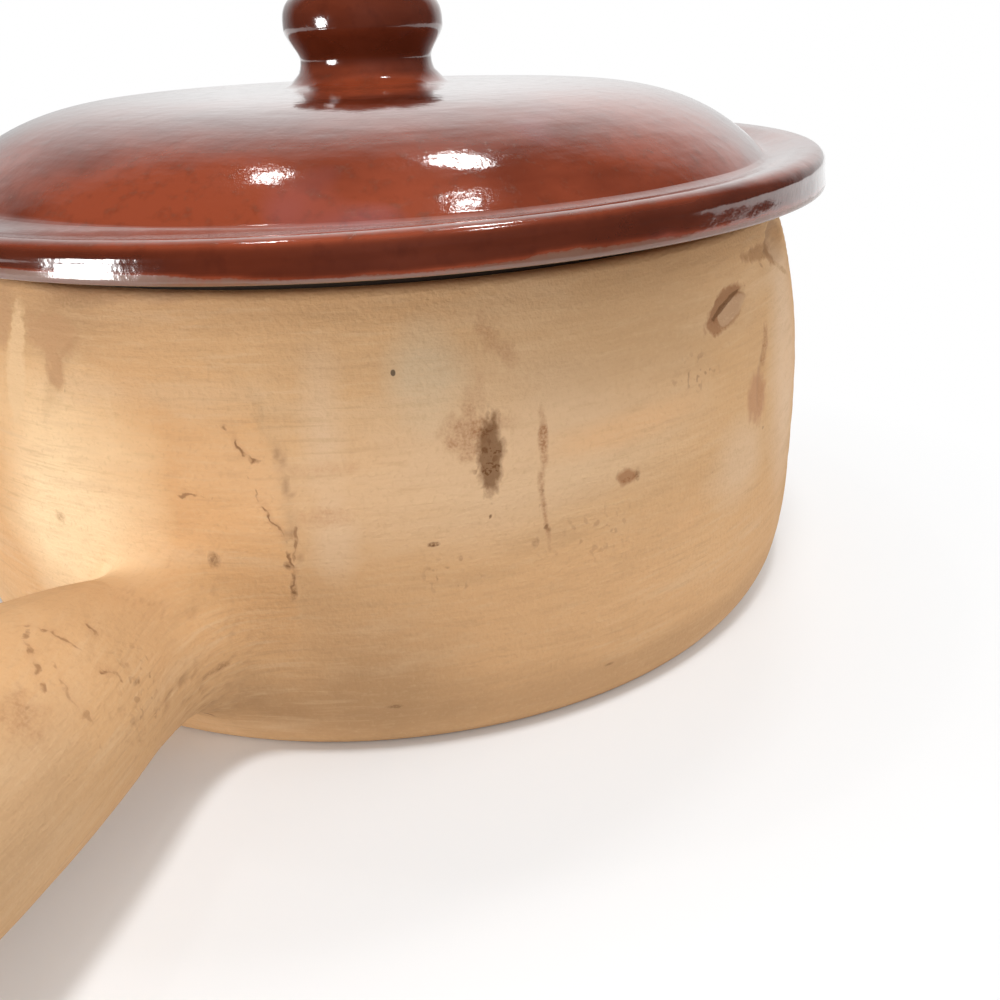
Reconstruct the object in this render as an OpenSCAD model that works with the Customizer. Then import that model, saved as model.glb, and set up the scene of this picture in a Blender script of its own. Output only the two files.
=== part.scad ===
/* [Pot] */
// Height of the pot to the flat top of its rim
pot_h = 96.5; // [80:0.5:130]
// Diameter of the flat base
base_d = 221; // [190:1:226]
// Diameter of the wall at its widest
belly_d = 232.4; // [228:0.1:260]
// Outer diameter of the rim
rim_d = 213; // [205:0.5:226]
// Height of the rounded corner between base and wall
corner_h = 24; // [10:1:34]
// How late the wall draws in towards the rim, 1 is a straight cone
wall_curve = 3.2; // [1.5:0.1:5]
// Thickness of the thrown wall
wall_t = 7; // [5:0.5:10]
// Thickness of the floor of the pot
floor_t = 9; // [6:0.5:14]
// Width of the flat top of the rim
rim_w = 10; // [8:0.5:13]
// Rounding of the outer lip of the rim
rim_round = 2; // [1:0.5:4]
// Height over which the wall thickens up to the rim
rim_deep = 14; // [8:1:20]
// Thickness of the glaze that lines the inside
lining_t = 0.6; // [0.4:0.1:1]

/* [Handle] */
// Length of the handle beyond the widest part of the pot
handle_len = 95; // [60:1:130]
// Height of the handle's axis where it leaves the wall
handle_z = 29.5; // [27:0.5:45]
// Upward slope of the handle in degrees
handle_rise = 4.5; // [0:0.5:12]
// Outer diameter of the handle where it leaves the wall
neck_d = 24; // [20:1:34]
// Outer diameter that the handle swells towards
grip_d = 51; // [40:1:54]
// Length over which the handle swells
flare_len = 30; // [20:1:50]
// Wall of the hollow handle
handle_wall = 5.5; // [4:0.5:7]

/* [Handle collar] */
// Length of the clay collar along the handle
collar_len = 14; // [8:1:22]
// How far the collar spreads on the pot wall, beyond the handle's neck
collar_w = 9; // [5:0.5:14]
// Thickness of the collar's outer edge
collar_edge = 0.8; // [0.5:0.1:2]

/* [Lid] */
// Outer diameter of the lid's flange
lid_d = 236.6; // [230:0.2:270]
// Width of the flange from its edge to the foot of the dome
flange_w = 14.7; // [12:0.1:18]
// How far the flange's lower edge stands above the rim
flange_lift = 4.2; // [2:0.2:6]
// Height of the flange's outer band
band_h = 3.7; // [3:0.1:7]
// How far the band leans inwards by its top
band_lean = 0.6; // [0.2:0.1:3]
// Width of the rounded crest at the top of the band
crest_w = 3.6; // [2:0.1:5]
// Height of that crest
crest_h = 2.8; // [1:0.1:4]
// Rise of the flange's top from its crest to the dome
flange_slope = 0.2; // [0.1:0.1:3]
// How late the cove turns up into the dome, 1 is a straight slope
cove_curve = 2.2; // [1:0.1:4]
// Height of the dome above its foot
dome_h = 17.6; // [12:0.1:30]
// Fullness of the dome, 2 is a plain arch and more is flatter on top
dome_curve = 5.8; // [2:0.1:10]
// Thickness of the lid's wall
lid_wall = 7; // [5:0.5:9]
// Depth of the ring that drops inside the rim
ring_h = 8; // [5:0.5:14]
// Thickness of that ring
ring_t = 6; // [4:0.5:8]
// Play between the ring and the glazed mouth of the pot
ring_play = 1.2; // [0.6:0.1:3]
// How far the lid's seat stops short of the rim's outer lip
seat_inset = 1; // [0.5:0.1:2]
// Width over which the flange's underside rises from the seat
recess_w = 6; // [3:0.5:9]
// Bare clay left at the foot of the flange's band
bare_h = 1.6; // [0.8:0.1:3]
// Thickness of the glaze on the lid and knob
glaze_t = 0.5; // [0.3:0.1:0.8]

/* [Knob] */
// Height of the knob above the dome
knob_h = 23.8; // [20:0.1:34]
// Diameter of the knob's cap
cap_d = 39.8; // [34:0.1:46]
// Diameter of the knob's neck
neck_knob_d = 33; // [24:0.5:33]
// Height of the widest part of the cap above the dome
cap_h = 14.2; // [13:0.1:19]
// Radius of the fillet at the foot of the knob
knob_fillet = 6.5; // [6:0.5:12]
// Squareness of the cap's top, 2 is an ellipse
cap_curve = 3; // [2:0.1:4]

/* [Hidden] */
$fn = 96;
bare_clay = [0.80, 0.62, 0.44];
red_glaze = [0.50, 0.21, 0.12];
honey_glaze = [0.62, 0.40, 0.20];

base_r = base_d / 2;
belly_r = belly_d / 2;
rim_r = rim_d / 2;
mouth_r = rim_r - rim_w;
wall_steps = 10;
corner_steps = 8;
arc_steps = 6;

// Outer radius of the pot at height z: an elliptic corner, then a wall that draws in
function corner_r(z, bottom, side, h) = bottom + (side - bottom) * sqrt(1 - pow(1 - z / h, 2));
function wall_r(z) = belly_r - (belly_r - rim_r) * pow((z - corner_h) / (pot_h - corner_h), wall_curve);
function pot_r(z) = z < corner_h ? corner_r(z, base_r, belly_r, corner_h) : wall_r(z);

// Rounds the step from a to b into a curve that leaves both level
function ease(t) = t * t * (3 - 2 * t);

// Points of the outline, from the base up to the lip
lip_z = pot_h - rim_round;
lip_r = pot_r(lip_z);
outside = concat(
  [for (i = [0:corner_steps]) let (a = 90 * i / corner_steps, z = corner_h * (1 - cos(a))) [pot_r(z), z]],
  [for (i = [1:wall_steps]) let (z = corner_h + (lip_z - corner_h) * i / wall_steps) [pot_r(z), z]]
);
lip = [for (i = [1:arc_steps]) let (a = 90 * i / arc_steps)
  [lip_r - rim_round * (1 - cos(a)), lip_z + rim_round * sin(a)]];

// Points of the inside, from the mouth down to the middle of the floor
inner_corner_h = corner_h - floor_t / 2;
floor_r = base_r - wall_t;
side_r = belly_r - wall_t;
rim_foot_z = pot_h - rim_deep;
function inside_r(z) =
  z < floor_t + inner_corner_h
  ? corner_r(z - floor_t, floor_r - inner_corner_h / 2, side_r, inner_corner_h)
  : pot_r(z) - wall_t;
inside_wall_top = inside_r(rim_foot_z);
function mouth_at(t) = mouth_r + (inside_wall_top - mouth_r) * ease(t);
inside = concat(
  [[mouth_r, pot_h]],
  [for (i = [1:arc_steps]) let (t = i / arc_steps)
    [mouth_at(t), pot_h - rim_round - (rim_deep - rim_round) * t]],
  [for (i = [1:wall_steps])
    let (z = rim_foot_z + (floor_t + inner_corner_h - rim_foot_z) * i / wall_steps) [inside_r(z), z]],
  [for (i = [1:corner_steps])
    let (a = 90 * i / corner_steps, z = floor_t + inner_corner_h * (1 - sin(a))) [inside_r(z), z]],
  [[0, floor_t]]
);

// A copy of an outline, moved by t to its left hand as it is walked
function left_of(p, q) = [p[1] - q[1], q[0] - p[0]] / norm(q - p);
function moved(path, t) = [for (i = [0:len(path) - 1])
  let (
    back = path[max(i - 1, 0)],
    ahead = path[min(i + 1, len(path) - 1)],
    side = left_of(back, ahead)
  )
  [max(path[i][0] + t * side[0], 0), path[i][1] + t * side[1]]];

// The lining stops below the rim's flat top
lined = [for (p = inside) if (p[1] < pot_h) p];
lining_face = moved(lined, -lining_t);

// Radius of the handle at a distance s from the widest part of the pot
neck_r = neck_d / 2;
grip_r = grip_d / 2;
handle_steps = 14;
lip_handle = handle_wall / 2;
// The handle and its collar start inside the wall and are cut back to its face
handle_back = 12;
past_cut = 1;
function handle_r(s) = s < 0 ? neck_r : neck_r + (grip_r - neck_r) * (1 - exp(-s / flare_len));
function collar_r(s) = handle_r(s) + collar_edge
  + collar_w * (1 - sqrt(1 - pow(1 - max(s, 0) / collar_len, 2)));
handle_end = handle_len - lip_handle;
handle_s = concat([-handle_back], [for (i = [0:handle_steps]) handle_end * i / handle_steps]);
collar_steps = 7;
collar_s = concat([-handle_back], [for (i = [0:collar_steps]) collar_len * i / collar_steps]);

// Levels of the lid, counted from the base of the pot
lid_r = lid_d / 2;
edge_z = pot_h + flange_lift;
band_top_z = edge_z + band_h;
crest_r = lid_r - band_lean;
crest_in_r = crest_r - crest_w;
crest_z = band_top_z + crest_h;
dome_foot_r = lid_r - flange_w;
dome_foot_z = crest_z + flange_slope;
dome_top_z = dome_foot_z + dome_h;
edge_round = 0.6;
under_z = edge_z - edge_round / 2;
seat_r = rim_r - rim_round - seat_inset;
// The dome is flat under the knob and falls away beyond it
pad_r = neck_knob_d / 2 + knob_fillet;
dome_power = dome_curve * (dome_foot_r - pad_r) / dome_foot_r;
function dome_z(r) = dome_top_z - dome_h * pow(max(r - pad_r, 0) / (dome_foot_r - pad_r), dome_power);
ring_r = mouth_r - lining_t - ring_play;
ring_in_r = ring_r - ring_t;
dome_steps = 14;

// Outline of the lid's top, from the bare edge of the band to the knob's pad
function band_r(z) = lid_r - band_lean * (z - edge_z) / band_h;
glazed_top = concat(
  [for (z = [edge_z + bare_h, band_top_z]) [band_r(z), z]],
  [for (i = [1:arc_steps]) let (a = 90 * i / arc_steps)
    [crest_r - crest_w * (1 - cos(a)), band_top_z + crest_h * sin(a)]],
  [for (i = [1:arc_steps - 1]) let (t = i / arc_steps)
    [crest_in_r + (dome_foot_r - crest_in_r) * t, crest_z + flange_slope * pow(t, cove_curve)]],
  [for (i = [0:dome_steps])
    let (r = dome_foot_r + (pad_r - dome_foot_r) * i / dome_steps) [r, dome_z(r)]]
);
underside = concat(
  [[0, dome_top_z - lid_wall]],
  [for (i = [dome_steps:-1:0])
    let (r = ring_in_r + (pad_r - ring_in_r) * i / dome_steps) [r, dome_z(r) - lid_wall]],
  [[ring_in_r, pot_h - ring_h]],
  [[ring_r, pot_h - ring_h]],
  [[ring_r, pot_h]],
  [for (i = [0:arc_steps]) let (a = 90 * i / arc_steps)
    [seat_r + recess_w * (1 - cos(a)), pot_h + (under_z - pot_h) * sin(a)]],
  [[lid_r - 2 * edge_round, under_z]],
  [[lid_r, edge_z + edge_round / 2]]
);

// Outline of the knob, from its fillet on the dome to the middle of its top
knob_neck_r = neck_knob_d / 2;
cap_r = cap_d / 2;
knob_line = concat(
  [for (i = [0:arc_steps]) let (a = 90 * i / arc_steps)
    [knob_neck_r + knob_fillet * (1 - sin(a)), dome_top_z + knob_fillet * (1 - cos(a))]],
  [for (i = [1:arc_steps]) let (t = i / arc_steps)
    [knob_neck_r + (cap_r - knob_neck_r) * ease(t), dome_top_z + knob_fillet + (cap_h - knob_fillet) * t]],
  [for (i = [1:corner_steps]) let (t = sin(90 * i / corner_steps))
    [cap_r * pow(1 - pow(t, cap_curve), 1 / cap_curve), dome_top_z + cap_h + (knob_h - cap_h) * t]]
);
coated = concat([for (p = glazed_top) if (p[0] > pad_r) p], knob_line);
coat_face = moved(coated, -glaze_t);

module pot_blank() {
  rotate_extrude() polygon(concat([[0, 0]], outside, lip, [[0, pot_h]]));
}

module on_handle() {
  translate([belly_r, 0, handle_z]) rotate([0, 90 - handle_rise, 0]) children();
}

// Thrown bowl: flat base, rounded corner, drawn-in wall and flat rim in one piece of clay
module pot_body() {
  color(bare_clay) rotate_extrude() polygon(concat([[0, 0]], outside, lip, inside));
}

// Fired glaze that lines the inside of the bowl
module pot_lining() {
  backwards = [for (i = [len(lining_face) - 1:-1:0]) lining_face[i]];
  color(honey_glaze) rotate_extrude() polygon(concat(lined, backwards));
}

// Hollow thrown handle, open at its outer end, set on the wall
module handle() {
  rim = [for (i = [0:2 * arc_steps]) let (a = 180 * i / (2 * arc_steps))
    [handle_r(handle_end) - lip_handle * (1 - cos(a)), handle_end + lip_handle * sin(a)]];
  outer = [for (s = handle_s) [handle_r(s), s]];
  inner = [for (i = [len(handle_s) - 2:-1:0]) [handle_r(handle_s[i]) - handle_wall, handle_s[i]]];
  color(bare_clay) difference() {
    on_handle() rotate_extrude() polygon(concat(outer, rim, inner));
    pot_blank();
  }
}

// Collar of soft clay pressed round the handle's root and onto the wall
module handle_collar() {
  outer = [for (s = collar_s) [collar_r(s), s]];
  color(bare_clay) difference() {
    on_handle() rotate_extrude() polygon(concat(outer, [[0, collar_len], [0, -handle_back]]));
    on_handle() rotate_extrude()
      polygon(concat(
        [[0, -handle_back - past_cut], [neck_r, -handle_back - past_cut]],
        [for (s = handle_s) [handle_r(s), s]],
        [[0, handle_end]]
      ));
    pot_blank();
  }
}

// Domed lid with a wide flange, and a ring below that drops inside the rim
module lid() {
  color(bare_clay) rotate_extrude()
    polygon(concat(underside, glazed_top, [[0, dome_top_z]]));
}

// Mushroom knob, luted to the flat middle of the dome
module lid_knob() {
  color(bare_clay) rotate_extrude() polygon(concat([[0, dome_top_z]], knob_line));
}

// Fired red-brown glaze over the dome, the flange and the knob
module lid_glaze() {
  backwards = [for (i = [len(coat_face) - 1:-1:0]) coat_face[i]];
  color(red_glaze) rotate_extrude() polygon(concat(coated, backwards));
}

pot_body();
pot_lining();
handle();
handle_collar();
lid();
lid_knob();
lid_glaze();
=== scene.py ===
import math

import bmesh
import bpy
import numpy as np
from mathutils import Matrix, Vector, noise
from mathutils.bvhtree import BVHTree


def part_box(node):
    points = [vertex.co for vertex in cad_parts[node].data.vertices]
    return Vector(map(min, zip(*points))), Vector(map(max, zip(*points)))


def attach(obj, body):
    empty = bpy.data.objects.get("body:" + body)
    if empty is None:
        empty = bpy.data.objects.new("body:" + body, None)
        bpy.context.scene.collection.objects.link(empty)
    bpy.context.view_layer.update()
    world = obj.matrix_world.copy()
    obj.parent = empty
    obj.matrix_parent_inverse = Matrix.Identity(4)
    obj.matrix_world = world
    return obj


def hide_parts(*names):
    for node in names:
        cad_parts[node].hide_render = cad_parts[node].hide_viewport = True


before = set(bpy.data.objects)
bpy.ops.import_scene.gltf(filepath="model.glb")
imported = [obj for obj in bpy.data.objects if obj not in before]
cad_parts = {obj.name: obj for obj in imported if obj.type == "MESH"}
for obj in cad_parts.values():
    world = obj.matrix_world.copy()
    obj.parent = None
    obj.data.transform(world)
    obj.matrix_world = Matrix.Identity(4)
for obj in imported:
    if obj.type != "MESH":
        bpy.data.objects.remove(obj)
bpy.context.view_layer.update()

# Camera
# Stands close to the pot and a little above the lid, with the handle pointing to its left.
# The picture is taken as 1000 by 1000 pixels.
handle_swing = math.radians(26.5)
camera_away = 0.278
camera_height = 0.1361
camera_turn = math.radians(6.54)
camera_tilt = math.radians(25.76)
camera_roll = math.radians(-2.31)
focal_px = 965.3
picture_px = 1000
sensor_mm = 36.0

camera_data = bpy.data.cameras.new("camera")
camera_data.sensor_width = sensor_mm
camera_data.lens = focal_px / picture_px * sensor_mm
camera_data.clip_start = 0.01
camera = bpy.data.objects.new("camera", camera_data)
bpy.context.scene.collection.objects.link(camera)
heading = Matrix.Rotation(handle_swing + math.pi / 2 - camera_turn, 4, "Z")
tilt = Matrix.Rotation(math.pi / 2 - camera_tilt, 4, "X")
roll = Matrix.Rotation(camera_roll, 4, "Z")
stand = Vector((math.cos(handle_swing), math.sin(handle_swing), 0)) * camera_away
stand.z = camera_height
camera.matrix_world = Matrix.Translation(stand) @ heading @ tilt @ roll
bpy.context.scene.camera = camera
bpy.context.scene.view_settings.view_transform = "Standard"


# Studio
# A white table that runs into a white background, lit from overhead, from the left and by soft fills.
# The left lamp and three small high ones show in the gloss, which else mirrors white behind and dim in front.
def wire(tree, kind, inputs=(), **settings):
    """Adds a node, sets its options, and links or sets its inputs, given by name or number."""
    made = tree.nodes.new(kind)
    for key, value in settings.items():
        setattr(made, key, value)
    for key, value in dict(inputs).items():
        socket = made.inputs[key]
        if isinstance(value, bpy.types.NodeSocket):
            tree.links.new(value, socket)
        else:
            socket.default_value = value
    return made


class Bench:
    """Short ways to add the nodes that the materials are made of."""

    def __init__(self, tree):
        self.tree = tree

    def sums(self, operation, *values):
        return wire(self.tree, "ShaderNodeMath", dict(enumerate(values)), operation=operation).outputs[0]

    def ramp(self, value, low, high, to_low=0.0, to_high=1.0):
        return wire(self.tree, "ShaderNodeMapRange", {
            "Value": value, "From Min": low, "From Max": high,
            "To Min": to_low, "To Max": to_high}).outputs[0]

    def vectors(self, operation, inputs, output="Vector"):
        return wire(self.tree, "ShaderNodeVectorMath", inputs, operation=operation).outputs[output]

    def painted(self, name):
        return wire(self.tree, "ShaderNodeAttribute", attribute_name=name).outputs["Fac"]

    def bumps(self, heights, strength):
        return wire(self.tree, "ShaderNodeBump", {
            "Height": heights, "Strength": strength, "Distance": 0.001}).outputs[0]

    def over(self, colour, amount, under):
        return wire(self.tree, "ShaderNodeMix", {0: amount, 6: under, 7: colour}, data_type="RGBA").outputs[2]

    def grain(self, place, scale, stretch=(1, 1, 1), detail=3.0, rough=0.5):
        spread = wire(self.tree, "ShaderNodeMapping", {"Vector": place, "Scale": stretch}).outputs[0]
        return wire(self.tree, "ShaderNodeTexNoise", {
            "Vector": spread, "Scale": scale, "Detail": detail, "Roughness": rough}).outputs[0]


def blank_material(name):
    """A new material with its nodes cleared."""
    material = bpy.data.materials.new(name)
    material.use_nodes = True
    material.node_tree.nodes.clear()
    return material


floor_far = 4.0
floor_front = 0.42
floor_white = (0.77, 0.78, 0.79, 1)
floor_shaded = (0.09, 0.0, 0.0)
floor_plain_from, floor_plain_to = 0.12, 0.26
white = (1, 1, 1, 1)
floor_mesh = bpy.data.meshes.new("table")
floor_lie = Matrix.Rotation(handle_swing, 3, "Z")
floor_corners = [floor_lie @ Vector((x, y, 0)) for x, y in (
    (-floor_far, -floor_far), (floor_front, -floor_far), (floor_front, floor_far), (-floor_far, floor_far))]
floor_mesh.from_pydata(floor_corners, [], [(0, 1, 2, 3)])
floor = bpy.data.objects.new("table", floor_mesh)
bpy.context.scene.collection.objects.link(floor)
table_white = blank_material("table_white")
bench = Bench(table_white.node_tree)
place = wire(bench.tree, "ShaderNodeTexCoord").outputs["Object"]
away = bench.vectors("DISTANCE", {0: place, 1: floor_shaded}, "Value")
seen = wire(bench.tree, "ShaderNodeLightPath").outputs
shown = bench.sums("MAXIMUM", seen["Is Camera Ray"], seen["Is Glossy Ray"])
shown = bench.sums("MAXIMUM", shown, seen["Is Transmission Ray"])
plain = bench.sums("MULTIPLY", shown, bench.ramp(away, floor_plain_from, floor_plain_to))
painted = wire(bench.tree, "ShaderNodeBsdfDiffuse", {"Color": floor_white})
glow = wire(bench.tree, "ShaderNodeEmission", {"Color": white, "Strength": 1.0})
both = wire(bench.tree, "ShaderNodeMixShader", {0: plain, 1: painted.outputs[0], 2: glow.outputs[0]})
wire(bench.tree, "ShaderNodeOutputMaterial", {"Surface": both.outputs[0]})
floor_mesh.materials.append(table_white)

ambient = 0.37
# The gloss mirrors white behind, less low down and at the sides, and dim in front. Each level fades in
# between two values of how far a direction points that way.
white_behind, behind_from, behind_to = 1.0, -0.78, -0.40
dim_front = 0.08
dim_low, low_from, low_to = 0.85, 0.02, 0.28
dim_left, left_from, left_to = 0.5, -0.45, -0.12
dim_right, right_from, right_to = 0.8, 0.50, 0.12
world = bpy.data.worlds.new("surroundings")
world.use_nodes = True
world.node_tree.nodes.clear()
bench = Bench(world.node_tree)
heading_out = wire(bench.tree, "ShaderNodeTexCoord").outputs["Generated"]
front = (math.cos(handle_swing), math.sin(handle_swing), 0)
right = (-math.sin(handle_swing), math.cos(handle_swing), 0)
towards_front = bench.vectors("DOT_PRODUCT", {0: heading_out, 1: front}, "Value")
towards_right = bench.vectors("DOT_PRODUCT", {0: heading_out, 1: right}, "Value")
upward = wire(bench.tree, "ShaderNodeSeparateXYZ", {0: heading_out}).outputs[2]
mirrored = bench.ramp(towards_front, behind_from, behind_to, white_behind, dim_front)
for level in (bench.ramp(upward, low_from, low_to, dim_low, 1.0),
              bench.ramp(towards_right, left_from, left_to, dim_left, 1.0),
              bench.ramp(towards_right, right_to, right_from, 1.0, dim_right)):
    mirrored = bench.sums("MULTIPLY", mirrored, level)
seen = wire(bench.tree, "ShaderNodeLightPath").outputs
plain = bench.sums("MAXIMUM", seen["Is Camera Ray"], seen["Is Transmission Ray"])
level = wire(bench.tree, "ShaderNodeMix", {0: seen["Is Glossy Ray"], 2: ambient, 3: mirrored}).outputs[0]
level = wire(bench.tree, "ShaderNodeMix", {0: plain, 2: level, 3: 1.0}).outputs[0]
sky = wire(bench.tree, "ShaderNodeBackground", {"Color": white, "Strength": level})
wire(bench.tree, "ShaderNodeOutputWorld", {"Surface": sky.outputs[0]})
bpy.context.scene.world = world


def soft_lamp(name, turn_deg, rise_deg, away, width, tall, power, mirrored=True):
    """An area lamp that looks at the pot, placed by its turn from the handle and its rise."""
    data = bpy.data.lights.new(name, "AREA")
    data.shape = "RECTANGLE"
    data.size = width
    data.size_y = tall
    data.energy = power
    lamp = bpy.data.objects.new(name, data)
    turn, rise = math.radians(turn_deg), math.radians(rise_deg)
    out = Vector((math.cos(turn) * math.cos(rise), math.sin(turn) * math.cos(rise), math.sin(rise)))
    aim = Vector((0, 0, 0.06))
    facing = out.to_track_quat("Z", "Y").to_matrix().to_4x4()
    lamp.matrix_world = Matrix.Translation(aim + out * away) @ facing
    lamp.visible_camera = False
    lamp.visible_glossy = mirrored
    bpy.context.scene.collection.objects.link(lamp)


soft_lamp("overhead", 35, 78, 1.3, 0.2, 0.2, 8.5, mirrored=False)
soft_lamp("high_lamp_back", 172, 69, 1.3, 0.16, 0.06, 1.2)
soft_lamp("high_lamp_right", 98, 74, 1.3, 0.10, 0.06, 0.6)
soft_lamp("high_lamp_left", -108, 71, 1.3, 0.08, 0.06, 0.5)
soft_lamp("left_window", -34, 6, 1.0, 0.24, 0.26, 5.0)
soft_lamp("front_fill", 45, 32, 1.2, 0.9, 0.9, 3.4, mirrored=False)
soft_lamp("right_fill", 115, 30, 1.3, 0.9, 0.9, 4.5, mirrored=False)


# Pot body
# One thrown piece of buff earthenware, unglazed outside: flat base, rounded corner, a wall that draws in
# and a flat rim. It was wiped on the wheel, then marked by a knife and by fingers when the handle went on.
pot_low, pot_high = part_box("pot_body")
belly_r = (pot_high.y - pot_low.y) / 2
pot_h = pot_high.z
base_r = 0.1105
rim_r = 0.1065
rim_w = 0.010
rim_round = 0.002
corner_h = 0.024
wall_curve = 3.2
wall_t = 0.007
floor_t = 0.009


def pot_r(z):
    """Outer radius of the pot at a height: an elliptic corner, then a wall that draws in."""
    z = np.clip(z, 0, pot_h)
    corner = base_r + (belly_r - base_r) * np.sqrt(np.clip(1 - (1 - z / corner_h) ** 2, 0, 1))
    drawn = np.clip((z - corner_h) / (pot_h - corner_h), 0, 1) ** wall_curve
    return np.where(z < corner_h, corner, belly_r - (belly_r - rim_r) * drawn)


def wheel_tree():
    """Geometry nodes that turn an outline round the Z axis, with throwing lines and a slow wobble."""
    group = bpy.data.node_groups.new("potters_wheel", "GeometryNodeTree")
    sockets = group.interface
    sockets.new_socket("Outline", in_out="INPUT", socket_type="NodeSocketGeometry")
    sockets.new_socket("Steps around", in_out="INPUT", socket_type="NodeSocketInt")
    for name in ("Sheet radius", "Line depth", "Line pitch", "Wobble", "Seed"):
        sockets.new_socket(name, in_out="INPUT", socket_type="NodeSocketFloat")
    sockets.new_socket("Finish", in_out="INPUT", socket_type="NodeSocketMaterial")
    sockets.new_socket("Thrown", in_out="OUTPUT", socket_type="NodeSocketGeometry")
    given = group.nodes.new("NodeGroupInput").outputs
    sums, vectors = Bench(group).sums, Bench(group).vectors

    # A flat grid: one column for each step round the wheel, one row for each point of the outline
    count = wire(group, "GeometryNodeAttributeDomainSize", {"Geometry": given["Outline"]})
    rows = count.outputs["Point Count"]
    columns = sums("ADD", given["Steps around"], 1)
    grid = wire(group, "GeometryNodeMeshGrid", {
        "Size X": 1.0, "Size Y": 1.0, "Vertices X": columns, "Vertices Y": rows})
    place = group.nodes.new("GeometryNodeInputPosition").outputs[0]
    flat = wire(group, "ShaderNodeSeparateXYZ", {0: place}).outputs
    turn = sums("MULTIPLY", flat[0], 2 * math.pi)
    row = sums("MULTIPLY", sums("ADD", flat[1], 0.5), sums("SUBTRACT", rows, 1))
    row = wire(group, "FunctionNodeFloatToInt", {0: row}, rounding_mode="ROUND").outputs[0]
    point = wire(group, "GeometryNodeSampleIndex", {
        "Geometry": given["Outline"], "Value": place, "Index": row},
        data_type="FLOAT_VECTOR", domain="POINT").outputs[0]
    outline = wire(group, "ShaderNodeSeparateXYZ", {0: point}).outputs

    # The unrolled sheet is kept as a map, then the grid is bent round the axis and its seam closed
    unrolled = wire(group, "ShaderNodeCombineXYZ", {
        0: sums("MULTIPLY", turn, given["Sheet radius"]), 1: outline[2]}).outputs[0]
    mapped = wire(group, "GeometryNodeStoreNamedAttribute", {
        "Geometry": grid.outputs[0], "Name": "unrolled", "Value": unrolled},
        data_type="FLOAT2", domain="CORNER").outputs[0]
    bent = wire(group, "ShaderNodeCombineXYZ", {
        0: sums("MULTIPLY", outline[0], sums("COSINE", turn)),
        1: sums("MULTIPLY", outline[0], sums("SINE", turn)),
        2: outline[2]}).outputs[0]
    turned = wire(group, "GeometryNodeSetPosition", {"Geometry": mapped, "Position": bent}).outputs[0]
    closed = wire(group, "GeometryNodeMergeByDistance", {"Geometry": turned, "Distance": 1e-6}).outputs[0]

    def unevenness(where, scale, detail, depth):
        made = wire(group, "ShaderNodeTexNoise", {
            "Vector": where, "W": given["Seed"], "Scale": scale, "Detail": detail}, noise_dimensions="4D")
        return sums("MULTIPLY", sums("SUBTRACT", made.outputs[0], 0.5), depth)

    # Fingers and rib leave level lines, and the soft clay wobbles a little
    along = sums("DIVIDE", 1, given["Line pitch"])
    stretch = wire(group, "ShaderNodeCombineXYZ", {0: 9.0, 1: 9.0, 2: along}).outputs[0]
    lines = unevenness(vectors("MULTIPLY", {0: place, 1: stretch}), 1.0, 2.0, given["Line depth"])
    slow = unevenness(place, 14.0, 1.0, given["Wobble"])
    normal = group.nodes.new("GeometryNodeInputNormal").outputs[0]
    offset = vectors("SCALE", {0: normal, "Scale": sums("ADD", lines, slow)})
    wavy = wire(group, "GeometryNodeSetPosition", {"Geometry": closed, "Offset": offset}).outputs[0]
    smooth = wire(group, "GeometryNodeSetShadeSmooth", {"Geometry": wavy}).outputs[0]
    real = wire(group, "GeometryNodeRealizeInstances", {"Geometry": smooth}).outputs[0]
    finished = wire(group, "GeometryNodeSetMaterial", {"Geometry": real, "Material": given["Finish"]})
    wire(group, "NodeGroupOutput", {0: finished.outputs[0]})
    return group


wheel = wheel_tree()


def face_outwards(mesh):
    """Points every face of a closed mesh outwards."""
    shell = bmesh.new()
    shell.from_mesh(mesh)
    bmesh.ops.recalc_face_normals(shell, faces=shell.faces)
    shell.to_mesh(mesh)
    shell.free()


def throw(name, outline, finish, steps, lines=0.0, pitch=0.003, wobble=0.0, seed=1.0, sheet_r=belly_r):
    """Turns an outline of (radius, height) points on the wheel and returns a plain mesh object."""
    template = bpy.data.meshes.new(name + "_outline")
    template.from_pydata([(r, 0, z) for r, z in outline], [], [])
    piece = bpy.data.objects.new(name, template)
    bpy.context.scene.collection.objects.link(piece)
    modifier = piece.modifiers.new("wheel", "NODES")
    modifier.node_group = wheel
    given = {"Steps around": steps, "Sheet radius": sheet_r, "Line depth": lines, "Line pitch": pitch,
             "Wobble": wobble, "Seed": seed, "Finish": finish}
    for socket in wheel.interface.items_tree:
        if socket.name in given:
            modifier[socket.identifier] = given[socket.name]
    bpy.context.view_layer.update()
    thrown = bpy.data.meshes.new_from_object(piece.evaluated_get(bpy.context.evaluated_depsgraph_get()))
    piece.modifiers.remove(modifier)
    piece.data = thrown
    thrown.name = name
    bpy.data.meshes.remove(template)
    face_outwards(thrown)
    return piece


def points_of(mesh):
    """The places of a mesh's points, as rows of numbers."""
    flat = np.zeros(len(mesh.vertices) * 3, np.float32)
    mesh.vertices.foreach_get("co", flat)
    return flat.reshape(-1, 3).astype(float)


def move_points(mesh, places):
    """Puts a mesh's points at new places."""
    mesh.vertices.foreach_set("co", np.asarray(places, np.float32).ravel())
    mesh.update()


def normals_of(mesh):
    """The outward directions at a mesh's points, as rows of numbers."""
    flat = np.zeros(len(mesh.vertices) * 3, np.float32)
    mesh.vertex_normals.foreach_get("vector", flat)
    return flat.reshape(-1, 3).astype(float)


def paint(mesh, name, values):
    """Keeps one value for each point of a mesh, for its material to read."""
    kept = mesh.attributes.new(name, "FLOAT", "POINT")
    kept.data.foreach_set("value", np.asarray(values, np.float32))


def ease(t):
    """A step from 0 to 1 that leaves both ends level."""
    t = np.clip(t, 0, 1)
    return t * t * (3 - 2 * t)


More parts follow.
